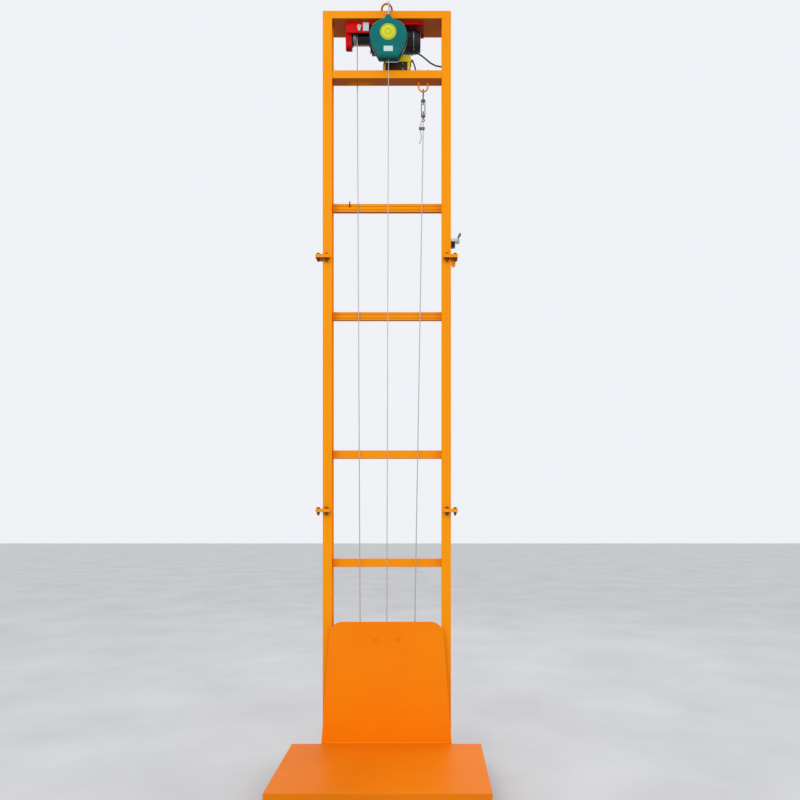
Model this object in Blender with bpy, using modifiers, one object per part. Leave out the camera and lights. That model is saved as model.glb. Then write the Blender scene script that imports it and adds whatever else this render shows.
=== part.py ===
"""Vertical ladder-track material lift: a three-section mast, an electric rope hoist and a fall
arrester in its head, and a carriage with a flat platform. Metres, +Z up, platform towards -Y.
Origin: on the floor, at the middle of the mast's front plane."""

import math

import bmesh
import bpy
from mathutils import Matrix, Vector

# ---- driving dimensions ------------------------------------------------------------------
GAP = 0.0003                 # clearance kept between touching pieces
WELD = 1e-5                  # distance at which a curve's cap joins its side
WALL = 0.003                 # sheet and tube wall
MAST_WIDTH = 0.760
POST_FACE = 0.055
POST_DEPTH = 0.080
SECTION = 1.500              # length of one mast section
HEAD_TOP = 4.461
HOOD_HEIGHT = 0.045
HOOD_DEPTH = 0.175
BEAM_LOW, BEAM_HIGH = 4.061, 4.109
BASE_HEIGHT = 0.050
BASE_WIDTH = 0.060
BASE_FRONT, BASE_REAR = -0.720, 0.160
CROSS_FRONT, CROSS_REAR = -0.020, 0.040  # the base's cross tube, under the mast's front plane
RUNG_HEIGHT = 0.050
RUNG_DEPTH = 0.024
RUNG_LEVELS = {"lower_rung_1": 0.370, "lower_rung_2": 1.185, "middle_rung_1": 1.835,
               "middle_rung_2": 2.666, "upper_rung": 3.316}
LUG_THICKNESS = 0.010
LUG_OUT, LUG_IN = 0.039, 0.044       # lug reach outside and inside of the post's outer face
LUG_FRONT, LUG_REAR = -0.030, 0.045
BOLT_OUT = 0.024                     # bolt centre outside of the post's outer face
BOLT_Y = -0.014
HOIST_Y = 0.093                      # hoist shaft line
DRUM_Z = 4.352
DRUM_RADIUS = 0.036                  # to the rope's centre
MOTOR_Z = 4.333
MOTOR_RADIUS = 0.068
ROPE = 0.006                         # hoist rope diameter
LIFELINE = 0.005                     # arrester rope diameter
CABLE = 0.009
ARREST_X = 0.0125
ARREST_FRONT, ARREST_REAR = -0.081, -0.020
ARREST_LOW, ARREST_WIDE_Z, ARREST_HIGH = 4.143, 4.283, 4.391
ARREST_PROFILE = [(0.058, ARREST_LOW), (0.099, 4.219), (0.109, 4.251), (0.1135, 4.287), (0.100, 4.325),
                  (0.073, 4.350), (0.024, 4.371), (0.017, ARREST_HIGH)]   # half width at each height
HANG_Y = -0.0235                     # depth at which the arrester hangs from its ring
DECK_HALF = 0.555
DECK_FRONT, DECK_REAR = -0.800, -0.051
DECK_TOP = 0.133
DECK_LIP = 0.040
PLATE_BACK = -0.034                  # rear face of the back plate, in front of the lugs
PLATE_THICKNESS = 0.004
PLATE_LOW, PLATE_HIGH = 0.095, 0.8455
PLATE_BOTTOM_HALF, PLATE_SHOULDER_HALF, PLATE_TOP_HALF = 0.3830, 0.3350, 0.2500
PLATE_SHOULDER_Z = 0.7705
FRAME_BACK = 0.0123                  # rear face of the carriage's cross bars
SHEAVE_Z = 0.695
SHEAVE_RADIUS = 0.045                # to the rope's centre
ROPE_PLANE = 0.0265                  # the ropes' depth at the sheaves
LEFT_ROPE_LOW_X, RIGHT_ROPE_LOW_X = -0.1605, 0.1630
LEFT_ROPE_TOP_X = -0.1815
DEAD_END_X = 0.2150
BEAM_MID_Y = POST_DEPTH / 2
ROLLER_RADIUS = 0.0365
ROLLER_WIDTH = 0.030
ROLLER_LEVELS = {"upper": 0.740, "lower": 0.165}
BRACKET_BOLT_X, BRACKET_BOLT_Z = 0.066, 0.7447
SWITCH_PIVOT = Vector((0.4214, -0.0300, 3.0956))
SWITCH_ROLLER = Vector((0.4291, -0.0630, 3.1080))

HALF = MAST_WIDTH / 2
INNER = HALF - POST_FACE

# ---- scene and materials -----------------------------------------------------------------
for old in list(bpy.data.objects):
    bpy.data.objects.remove(old)
PARTS = bpy.data.collections.new("drywall_lift")
CUTTERS = bpy.data.collections.new("cutters")
for group in (PARTS, CUTTERS):
    bpy.context.scene.collection.children.link(group)


def material(name, colour, roughness, metallic):
    made = bpy.data.materials.new(name)
    made.use_nodes = True
    shader = made.node_tree.nodes["Principled BSDF"]
    shader.inputs["Base Color"].default_value = (*colour, 1.0)
    shader.inputs["Roughness"].default_value = roughness
    shader.inputs["Metallic"].default_value = metallic
    return made


ORANGE = material("orange_paint", (0.94, 0.26, 0.005), 0.38, 0.0)
RED = material("red_paint", (0.62, 0.01, 0.01), 0.35, 0.0)
BLACK = material("black_enamel", (0.012, 0.012, 0.014), 0.35, 0.0)
DARK = material("dark_plastic", (0.03, 0.014, 0.010), 0.45, 0.0)
YELLOW = material("yellow_plastic", (0.80, 0.56, 0.01), 0.40, 0.0)
TEAL = material("teal_plastic", (0.0, 0.19, 0.17), 0.40, 0.0)
STEEL = material("zinc_steel", (0.50, 0.50, 0.50), 0.35, 1.0)
WIRE = material("wire_rope", (0.34, 0.34, 0.33), 0.45, 1.0)
RUBBER = material("rubber", (0.02, 0.02, 0.02), 0.80, 0.0)
NYLON = material("nylon", (0.10, 0.10, 0.10), 0.55, 0.0)


# ---- modelling tools ---------------------------------------------------------------------
def link(obj, mat=None, cutter=False):
    """Puts an object in its collection; a cutter is drawn as wire and never rendered."""
    (CUTTERS if cutter else PARTS).objects.link(obj)
    if cutter:
        obj.hide_render = True
        obj.display_type = "WIRE"
    if mat:
        obj.data.materials.append(mat)
    return obj


def from_bmesh(name, bm, mat, cutter):
    mesh = bpy.data.meshes.new(name)
    bmesh.ops.recalc_face_normals(bm, faces=bm.faces)
    bm.to_mesh(mesh)
    bm.free()
    return link(bpy.data.objects.new(name, mesh), mat, cutter)


def box(name, low, high, mat=None, cutter=False):
    low, high = Vector(low), Vector(high)
    bm = bmesh.new()
    bmesh.ops.create_cube(bm, size=1.0)
    bmesh.ops.scale(bm, vec=high - low, verts=bm.verts)
    bmesh.ops.translate(bm, vec=(low + high) / 2, verts=bm.verts)
    return from_bmesh(name, bm, mat, cutter)


def rod(name, start, end, radius, mat=None, cutter=False, end_radius=None, sides=24):
    """A cylinder, or a cone, from start to end."""
    start, end = Vector(start), Vector(end)
    axis = end - start
    bm = bmesh.new()
    bmesh.ops.create_cone(bm, cap_ends=True, segments=sides, radius1=radius,
                          radius2=radius if end_radius is None else end_radius, depth=axis.length)
    turn = Vector((0, 0, 1)).rotation_difference(axis.normalized()).to_matrix().to_4x4()
    bmesh.ops.transform(bm, matrix=Matrix.Translation((start + end) / 2) @ turn, verts=bm.verts)
    made = from_bmesh(name, bm, mat, cutter)
    smooth(made)
    return made


def smooth(obj):
    obj.data.shade_smooth()
    obj.data.set_sharp_from_angle(angle=math.radians(35))


def curve_mesh(name, curve, points, closed):
    """The mesh of a curve through points, its caps welded, ready to edit."""
    spline = curve.splines.new("POLY")
    spline.points.add(len(points) - 1)
    for slot, point in zip(spline.points, points):
        slot.co = (*point, 1.0)
    spline.use_cyclic_u = closed
    guide = bpy.data.objects.new(name + "_guide", curve)
    bpy.context.scene.collection.objects.link(guide)
    bpy.context.view_layer.update()
    evaluated = guide.evaluated_get(bpy.context.evaluated_depsgraph_get())
    mesh = bpy.data.meshes.new_from_object(evaluated)
    bpy.data.objects.remove(guide)
    bm = bmesh.new()
    bm.from_mesh(mesh)
    bmesh.ops.remove_doubles(bm, verts=bm.verts, dist=WELD)
    return bm


def plate(name, outline, plane, low, high, mat=None, cutter=False):
    """A flat outline, as thick as low to high along the axis that plane leaves out."""
    curve = bpy.data.curves.new(name + "_outline", "CURVE")
    curve.dimensions = "2D"
    curve.fill_mode = "BOTH"
    curve.extrude = (high - low) / 2
    bm = curve_mesh(name, curve, [(u, v, 0.0) for u, v in outline], True)
    bmesh.ops.dissolve_limit(bm, angle_limit=math.radians(0.1), verts=bm.verts, edges=bm.edges)
    axis = {"XZ": 1, "YZ": 0, "XY": 2}[plane]
    for vert in bm.verts:
        point = [vert.co.x, vert.co.y]
        point.insert(axis, low if vert.co.z < 0 else high)
        vert.co = point
    bm.normal_update()
    return from_bmesh(name, bm, mat, cutter)


def bent_bar(name, points, radius, mat, closed=False, resolution=2):
    """A round bar along points."""
    curve = bpy.data.curves.new(name + "_curve", "CURVE")
    curve.dimensions = "3D"
    curve.bevel_depth = radius
    curve.bevel_resolution = resolution
    curve.use_fill_caps = True
    made = from_bmesh(name, curve_mesh(name, curve, points, closed), mat, False)
    smooth(made)
    return made


def smooth_path(points, step):
    """Points about step apart on a Catmull-Rom curve through the given points."""
    points = [Vector(p) for p in points]
    ends = [2 * points[0] - points[1]] + points + [2 * points[-1] - points[-2]]
    path = [points[0]]
    for a, b, c, d in zip(ends, ends[1:], ends[2:], ends[3:]):
        count = max(1, round((c - b).length / step))
        for i in range(1, count + 1):
            t = i / count
            path.append(0.5 * (2 * b + (c - a) * t + (2 * a - 5 * b + 4 * c - d) * t * t
                               + (3 * b - a - 3 * c + d) * t ** 3))
    return path


def arc(centre, radius, start, end, count):
    """Points of an arc in a plane, angles in degrees from the plane's first axis."""
    turns = [math.radians(start + (end - start) * i / (count - 1)) for i in range(count)]
    return [(centre[0] + radius * math.cos(t), centre[1] + radius * math.sin(t)) for t in turns]


def boolean(obj, operation, others):
    for other in others:
        if other.name not in CUTTERS.objects:
            PARTS.objects.unlink(other)
            link(other, cutter=True)
        step = obj.modifiers.new(other.name, "BOOLEAN")
        step.operation = operation
        step.object = other
    return obj


def cut(obj, *others):
    return boolean(obj, "DIFFERENCE", others)


def join(obj, *others):
    return boolean(obj, "UNION", others)


def set_origin(obj, point):
    point = Vector(point)
    obj.data.transform(Matrix.Translation(-point))
    obj.location = point
    return obj


# ---- mast --------------------------------------------------------------------------------
def lug(side, low):
    """The bolting plate that a post carries round its outer front corner."""
    outer = side * HALF
    xs = sorted((outer + side * LUG_OUT, outer - side * LUG_IN))
    made = box("lug", (xs[0], LUG_FRONT, low), (xs[1], LUG_REAR, low + LUG_THICKNESS), cutter=True)
    for x in (outer + side * BOLT_OUT, outer - side * BOLT_OUT):
        cut(made, rod("bolt_hole", (x, BOLT_Y, low - 0.01), (x, BOLT_Y, low + 0.02), 0.0068,
                      cutter=True))
    return made


def post(name, side, low, high, lug_levels):
    """A channel with its web outside and its mouth towards the mast's centre."""
    xs = sorted((side * HALF, side * INNER))
    made = box(name, (xs[0], 0, low), (xs[1], POST_DEPTH, high), ORANGE)
    mouth = sorted((side * (HALF - WALL), side * (INNER - 0.01)))
    hollow = box("channel", (mouth[0], WALL, low - 0.1), (mouth[1], POST_DEPTH - WALL, high + 0.1),
                 cutter=True)
    join(made, *[lug(side, z) for z in lug_levels])
    return cut(made, hollow)


def mast():
    joints = (SECTION, 2 * SECTION)
    top = HEAD_TOP - HOOD_HEIGHT - GAP
    for word, side in (("left", -1), ("right", 1)):
        post(f"lower_{word}_post", side, BASE_HEIGHT + GAP, joints[0] - GAP,
             [joints[0] - GAP - LUG_THICKNESS])
        middle = post(f"middle_{word}_post", side, joints[0], joints[1] - GAP,
                      [joints[0], joints[1] - GAP - LUG_THICKNESS])
        if side > 0:
            tab = [(HALF + u, v) for u, v in arc((0.0145, 2.958), 0.0125, 180, 360, 9)]
            tab += [(HALF + 0.027, 2.992), (HALF + 0.002, 2.992)]
            join(middle, plate("keeper_tab", tab, "XZ", 0.012, 0.017, cutter=True))
        upper = post(f"upper_{word}_post", side, joints[1], top, [joints[1]])
        xs = sorted((side * (HALF - 0.0005), side * (HALF - 0.0055)))
        brace_top = top - 0.0005
        brace = [(POST_DEPTH - 0.001, brace_top), (HOOD_DEPTH - 0.005, brace_top),
                 (HOOD_DEPTH - 0.005, top - 0.012), (POST_DEPTH - 0.001, top - 0.120)]
        join(upper, plate("brace", brace, "YZ", xs[0], xs[1], cutter=True))
    for name, z in RUNG_LEVELS.items():
        rear = POST_DEPTH
        rung = box(name, (-INNER + GAP, rear - RUNG_DEPTH, z - RUNG_HEIGHT / 2),
                   (INNER - GAP, rear, z + RUNG_HEIGHT / 2), ORANGE)
        cut(rung, box("rung_bore", (-0.4, rear - RUNG_DEPTH + 0.002, z - RUNG_HEIGHT / 2 + 0.002),
                      (0.4, rear - 0.002, z + RUNG_HEIGHT / 2 - 0.002), cutter=True))
    number = 0
    for side in (-1, 1):
        for z in joints:
            number += 1
            lug_bolt(f"lug_bolt_{number}", side * (HALF + BOLT_OUT), z)


def lug_bolt(name, x, z):
    """A vertical bolt through a pair of lugs, with its head above and its nut below."""
    top, bottom = z + LUG_THICKNESS + GAP, z - LUG_THICKNESS - 2 * GAP
    bolt = rod(name, (x, BOLT_Y, bottom - 0.020), (x, BOLT_Y, top + 0.001), 0.006, STEEL, sides=16)
    head = rod("head", (x, BOLT_Y, top), (x, BOLT_Y, top + 0.008), 0.0105, cutter=True, sides=6)
    nut = rod("nut", (x, BOLT_Y, bottom - 0.011), (x, BOLT_Y, bottom), 0.0105, cutter=True, sides=6)
    join(bolt, head, nut)


def base():
    """A welded base: a skid under each post, joined by a cross tube under the mast."""
    centre = HALF - POST_FACE / 2
    half = BASE_WIDTH / 2
    made = box("base_frame", (-centre, CROSS_FRONT, 0), (centre, CROSS_REAR, BASE_HEIGHT), ORANGE)
    for side in (-1, 1):
        x = side * centre
        join(made, box("skid", (x - half, BASE_FRONT, 0), (x + half, BASE_REAR, BASE_HEIGHT),
                       cutter=True))
    for side in (-1, 1):
        x = side * centre
        cut(made, box("skid_bore", (x - half + WALL, BASE_FRONT - 0.01, WALL),
                      (x + half - WALL, CROSS_FRONT - 0.02, BASE_HEIGHT - WALL),
                      cutter=True))
    arm_low = DECK_TOP - DECK_LIP
    for word, side in (("left", -1), ("right", 1)):
        rod(f"{word}_buffer", (side * centre, -0.350, BASE_HEIGHT + GAP),
            (side * centre, -0.350, arm_low - 0.001), 0.020, RUBBER, end_radius=0.017)


def head():
    under = HEAD_TOP - HOOD_HEIGHT
    hood = box("head_hood", (-HALF, 0, under), (HALF, HOOD_DEPTH, HEAD_TOP), ORANGE)
    cut(hood, box("hood_bore", (-HALF - 0.1, WALL, under + WALL),
                  (HALF + 0.1, HOOD_DEPTH - WALL, HEAD_TOP - WALL), cutter=True))
    beam = box("head_beam", (-INNER + GAP, 0, BEAM_LOW), (INNER - GAP, POST_DEPTH, BEAM_HIGH), ORANGE)
    cut(beam, box("beam_bore", (-0.5, WALL, BEAM_LOW + WALL), (0.5, POST_DEPTH - WALL, BEAM_HIGH - WALL),
                  cutter=True),
        box("rope_slot", (-0.2375, 0.0425, BEAM_LOW - 0.1), (-0.0857, 0.0710, BEAM_HIGH + 0.1),
            cutter=True),
        *[rod("eye_hole", (DEAD_END_X + s * 0.027, BEAM_MID_Y, BEAM_LOW - 0.01),
              (DEAD_END_X + s * 0.027, BEAM_MID_Y, BEAM_HIGH + 0.01), 0.0055, cutter=True, sides=16)
          for s in (-1, 1)])
    lean = math.radians(55)
    ring_x, root_y, leg, radius = 0.0, 0.006, 0.008, 0.0300
    flat = [(-radius, 0.0), (-radius, leg / 2)]
    flat += [(u, v) for u, v in arc((0, leg), radius, 180, 0, 13)]
    flat += [(radius, leg / 2), (radius, 0.0)]
    foot = HEAD_TOP + 0.0010
    ring = bent_bar("hanging_ring", [(ring_x + u, root_y - v * math.sin(lean), foot + v * math.cos(lean))
                                     for u, v in flat], 0.006, ORANGE)
    cut(ring, box("hood_top", (-0.1, -0.001, HEAD_TOP - 0.05), (0.1, 0.05, HEAD_TOP + GAP),
                  cutter=True))


# ---- hoist -------------------------------------------------------------------------------
def hoist():
    top = HEAD_TOP - HOOD_HEIGHT - GAP
    frame = box("hoist_frame", (-0.246, 0.028, top - 0.004), (0.217, 0.158, top), RED)
    join(frame,
         box("front_strip", (-0.246, 0.028, top - 0.017), (0.217, 0.032, top - 0.001), cutter=True),
         box("rear_strip", (-0.246, 0.154, top - 0.017), (0.217, 0.158, top - 0.001), cutter=True),
         box("front_cheek", (-0.246, 0.0281, 4.3500), (-0.107, 0.0321, top - 0.001), cutter=True),
         box("rear_cheek", (-0.246, 0.1539, 4.3500), (-0.107, 0.1579, top - 0.001), cutter=True))
    tongue = [(HOIST_Y - 0.030, 4.4114), (HOIST_Y - 0.042, 4.352)]
    tongue += arc((HOIST_Y, 4.309), 0.028, 180, 360, 11)
    tongue += [(HOIST_Y + 0.042, 4.352), (HOIST_Y + 0.030, 4.4114)]
    end = plate("drum_end_housing", tongue, "YZ", -0.2520, -0.2145, RED)
    rounded = end.modifiers.new("rounded", "BEVEL")
    rounded.width, rounded.segments = 0.003, 2
    cut(end, rod("bearing_seat", (-0.2455, HOIST_Y, DRUM_Z), (-0.20, HOIST_Y, DRUM_Z), 0.0123,
                 cutter=True))
    gearbox = rod("hoist_gearbox", (-0.096, HOIST_Y, 4.325), (0.050, HOIST_Y, 4.325), 0.066, BLACK,
                  sides=36)
    ear = arc((HOIST_Y, 4.325), 0.050, 180, 360, 11) + [(HOIST_Y + 0.050, 4.380), (HOIST_Y - 0.050, 4.380)]
    join(gearbox, plate("gear_flange", ear, "YZ", -0.104, -0.0955, cutter=True))
    cut(gearbox, rod("shaft_seat", (-0.12, HOIST_Y, DRUM_Z), (-0.085, HOIST_Y, DRUM_Z), 0.0123,
                     cutter=True))
    motor = rod("hoist_motor", (0.0503, HOIST_Y, MOTOR_Z), (0.160, HOIST_Y, MOTOR_Z), MOTOR_RADIUS,
                BLACK, sides=40)
    for i in range(5):
        x = 0.066 + i * 0.018
        groove = rod("groove", (x, HOIST_Y, MOTOR_Z), (x + 0.008, HOIST_Y, MOTOR_Z), 0.1, cutter=True)
        cut(groove, rod("groove_core", (x - 0.01, HOIST_Y, MOTOR_Z), (x + 0.02, HOIST_Y, MOTOR_Z),
                        MOTOR_RADIUS - 0.004, cutter=True, sides=40))
        cut(motor, groove)
    cover = rod("motor_fan_cover", (0.1603, HOIST_Y, MOTOR_Z), (0.199, HOIST_Y, MOTOR_Z), MOTOR_RADIUS,
                BLACK, sides=40, end_radius=MOTOR_RADIUS - 0.012)
    rounded = cover.modifiers.new("rounded", "BEVEL")
    rounded.width, rounded.segments = 0.004, 2
    rounded.limit_method = "ANGLE"
    rounded.angle_limit = math.radians(50)
    drum = rod("rope_drum", (-0.211, HOIST_Y, DRUM_Z), (-0.108, HOIST_Y, DRUM_Z),
               DRUM_RADIUS - ROPE / 2 - GAP, BLACK, sides=32)
    join(drum, rod("drum_shaft", (-0.2450, HOIST_Y, DRUM_Z), (-0.0860, HOIST_Y, DRUM_Z), 0.0120,
                   cutter=True),
         rod("left_flange", (-0.2140, HOIST_Y, DRUM_Z), (-0.2100, HOIST_Y, DRUM_Z), 0.044, cutter=True,
             sides=32),
         rod("right_flange", (-0.1110, HOIST_Y, DRUM_Z), (-0.1070, HOIST_Y, DRUM_Z), 0.044,
             cutter=True, sides=32))
    set_origin(drum, (-0.166, HOIST_Y, DRUM_Z))
    lever = [(-0.012, 0.002), (0.0, 0.009), (0.012, 0.002), (0.006, -0.030), (-0.006, -0.030)]
    stop = plate("rope_stop_lever", [(-0.166 + u, 4.388 + v) for u, v in lever], "XZ", 0.0215, 0.0275,
                 STEEL)
    set_origin(stop, (-0.166, 0.0245, 4.388))
    box_low = BEAM_HIGH + GAP
    case = box("control_box", (-0.024, 0.010, box_low), (0.1390, 0.068, 4.1650), DARK)
    lid = plate("control_box_cover", [(0.0650, 4.1653), (0.1450, 4.1653), (0.1420, 4.2020), (0.0820, 4.2020)],
                "XZ", 0.008, 0.066, YELLOW)
    for piece, width in ((case, 0.010), (lid, 0.004)):
        rounded = piece.modifiers.new("rounded", "BEVEL")
        rounded.width, rounded.segments = width, 2


# ---- fall arrester -----------------------------------------------------------------------
def arrester_outline(grow):
    """The housing seen from the front: wide shoulders between a narrow neck and a flat foot."""
    right = [(ARREST_X + half + grow, z + (0.2 if z > ARREST_WIDE_Z else -0.2) * grow)
             for half, z in ARREST_PROFILE if half + grow > 0.003]
    return right + [(2 * ARREST_X - u, v) for u, v in reversed(right)]


def arrester():
    middle = (ARREST_FRONT + ARREST_REAR) / 2
    front = plate("arrester_front_shell", arrester_outline(-0.004), "XZ", ARREST_FRONT, middle - GAP, TEAL)
    rear = plate("arrester_rear_shell", arrester_outline(0.0), "XZ", middle, ARREST_REAR, TEAL)
    for shell, width in ((front, 0.010), (rear, 0.006)):
        rounded = shell.modifiers.new("rounded", "BEVEL")
        rounded.width, rounded.segments = width, 3
        rounded.limit_method = "ANGLE"
        rounded.angle_limit = math.radians(35)
    well = arrester_outline(-0.018)
    for shell, y0, y1 in ((front, ARREST_FRONT + 0.004, middle + 0.01), (rear, middle - 0.01, -0.024)):
        cut(shell, plate("well", well, "XZ", y0, y1, cutter=True))
        cut(shell, rod("rope_exit", (ARREST_X, middle, ARREST_LOW - 0.02),
                       (ARREST_X, middle, ARREST_LOW + 0.04), 0.008, cutter=True, sides=16))
    z = ARREST_WIDE_Z - 0.010
    reel = rod("arrester_reel", (ARREST_X, ARREST_FRONT + 0.012, z), (ARREST_X, ARREST_REAR - 0.012, z),
               0.050, STEEL, sides=32)
    join(reel, rod("reel_front", (ARREST_X, ARREST_FRONT + 0.008, z), (ARREST_X, ARREST_FRONT + 0.013, z),
                   0.072, cutter=True, sides=32),
         rod("reel_rear", (ARREST_X, ARREST_REAR - 0.013, z), (ARREST_X, ARREST_REAR - 0.008, z),
             0.072, cutter=True, sides=32))
    set_origin(reel, (ARREST_X, middle, z))
    loop = [(ARREST_X, HANG_Y + 0.014 * math.cos(math.radians(t)),
             (4.4800 if 0 <= t <= 180 else 4.4200) + 0.014 * math.sin(math.radians(t)))
            for t in range(0, 360, 20)]
    swivel = bent_bar("arrester_swivel", loop, 0.0040, STEEL, closed=True)
    join(swivel, rod("swivel_stud", (ARREST_X, HANG_Y, ARREST_HIGH + GAP),
                     (ARREST_X, HANG_Y, 4.4080), 0.0105, cutter=True))


# ---- rope's dead end ---------------------------------------------------------------------
def dead_end():
    x, y = DEAD_END_X, BEAM_MID_Y
    bend = [(x - 0.027, BEAM_HIGH + 0.024), (x - 0.027, BEAM_LOW - 0.028)]
    bend += arc((x, BEAM_LOW - 0.030), 0.027, 180, 360, 11)[1:-1]
    bend += [(x + 0.027, BEAM_LOW - 0.028), (x + 0.027, BEAM_HIGH + 0.024)]
    bolt = bent_bar("u_bolt", [(u, y, v) for u, v in bend], 0.005, ORANGE)
    for s in (-1, 1):
        join(bolt, rod("nut", (x + s * 0.027, y, BEAM_HIGH + GAP), (x + s * 0.027, y, BEAM_HIGH + 0.009),
                       0.009, cutter=True, sides=6))
    rail = 0.0105
    body = rod("turnbuckle_body", (x, y, 3.9440), (x, y, 3.9560), 0.0095, STEEL)
    join(body, rod("lower_boss", (x, y, 3.8500), (x, y, 3.8620), 0.0095, cutter=True))
    for s in (-1, 1):
        join(body, box("rail", (x + s * rail - 0.0030, y - 0.0035, 3.8520),
                       (x + s * rail + 0.0030, y + 0.0035, 3.9540), cutter=True))
    cut(body, rod("thread", (x, y, 3.8), (x, y, 4.0), 0.0048, cutter=True, sides=16))
    set_origin(body, (x, y, 3.903))
    hook_path = [(x, y, 3.925), (x, y, 3.976)]
    hook_path += [(x, y + 0.0118 * math.sin(math.radians(t)), 4.0035 - 0.0118 * math.cos(math.radians(t))
                   ) for t in range(20, 231, 21)]
    hook = bent_bar("turnbuckle_hook", smooth_path(hook_path, 0.006), 0.0042, STEEL)
    set_origin(hook, (x, y, 4.0035))
    eye_path = [(x + 0.008 * math.cos(math.radians(t)), y, 3.8330 + 0.008 * math.sin(math.radians(t)))
                for t in range(0, 360, 30)]
    eye = bent_bar("turnbuckle_eye", eye_path, 0.0030, STEEL, closed=True)
    join(eye, rod("eye_shank", (x, y, 3.8405), (x, y, 3.8850), 0.0042, cutter=True, sides=16))
    clip = box("rope_clip", (x - 0.026, y - 0.008, 3.7760), (x + 0.010, y + 0.008, 3.7900), STEEL)
    rounded = clip.modifiers.new("rounded", "BEVEL")
    rounded.width, rounded.segments = 0.003, 2
    cut(clip, rod("clip_bore", (x - 0.0005, y, 3.76), (x - 0.0005, y, 3.80), ROPE / 2 + GAP,
                  cutter=True, sides=16))


# ---- limit switch ------------------------------------------------------------------------
def limit_switch():
    wall = HALF + GAP
    case = box("limit_switch_body", (wall, 0.008, 3.0655), (0.4045, 0.042, 3.0955), BLACK)
    cover = box("limit_switch_head", (wall, 0.004, 3.0958), (0.4330, 0.046, 3.1140), STEEL)
    for piece in (case, cover):
        rounded = piece.modifiers.new("rounded", "BEVEL")
        rounded.width, rounded.segments = 0.002, 2
    boss = (SWITCH_PIVOT.x, 0.0, SWITCH_PIVOT.z)
    join(cover, rod("boss", (boss[0], -0.006, boss[2]), (boss[0], 0.030, boss[2]), 0.0090, cutter=True))
    cut(cover, rod("boss_bore", (boss[0], -0.02, boss[2]), (boss[0], 0.022, boss[2]), 0.0041,
                   cutter=True, sides=16))
    tip = SWITCH_ROLLER - SWITCH_PIVOT
    lean = math.atan2(tip.x, tip.z)
    lever = rod("limit_switch_lever", (boss[0], -0.0585, boss[2]), (boss[0], 0.020, boss[2]), 0.0038,
                STEEL, sides=16)
    reach = math.hypot(tip.x, tip.z)
    side = [(-0.0060, -0.004), (0.0060, -0.004), (0.0040, reach + 0.004), (-0.0040, reach + 0.004)]
    turned = [(boss[0] + u * math.cos(lean) + v * math.sin(lean),
               boss[2] - u * math.sin(lean) + v * math.cos(lean)) for u, v in side]
    join(lever, plate("lever_arm", turned, "XZ", -0.0585, -0.0560, cutter=True),
         rod("roller_pin", (SWITCH_ROLLER.x, -0.0700, SWITCH_ROLLER.z),
             (SWITCH_ROLLER.x, -0.0570, SWITCH_ROLLER.z), 0.0025, cutter=True, sides=16))
    set_origin(lever, (boss[0], SWITCH_PIVOT.y, boss[2]))
    wheel = rod("limit_switch_roller", (SWITCH_ROLLER.x, -0.0690, SWITCH_ROLLER.z),
                (SWITCH_ROLLER.x, -0.0590, SWITCH_ROLLER.z), 0.0085, NYLON)
    cut(wheel, rod("roller_bore", (SWITCH_ROLLER.x, -0.08, SWITCH_ROLLER.z),
                   (SWITCH_ROLLER.x, -0.05, SWITCH_ROLLER.z), 0.0028, cutter=True, sides=16))
    set_origin(wheel, SWITCH_ROLLER)


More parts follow.
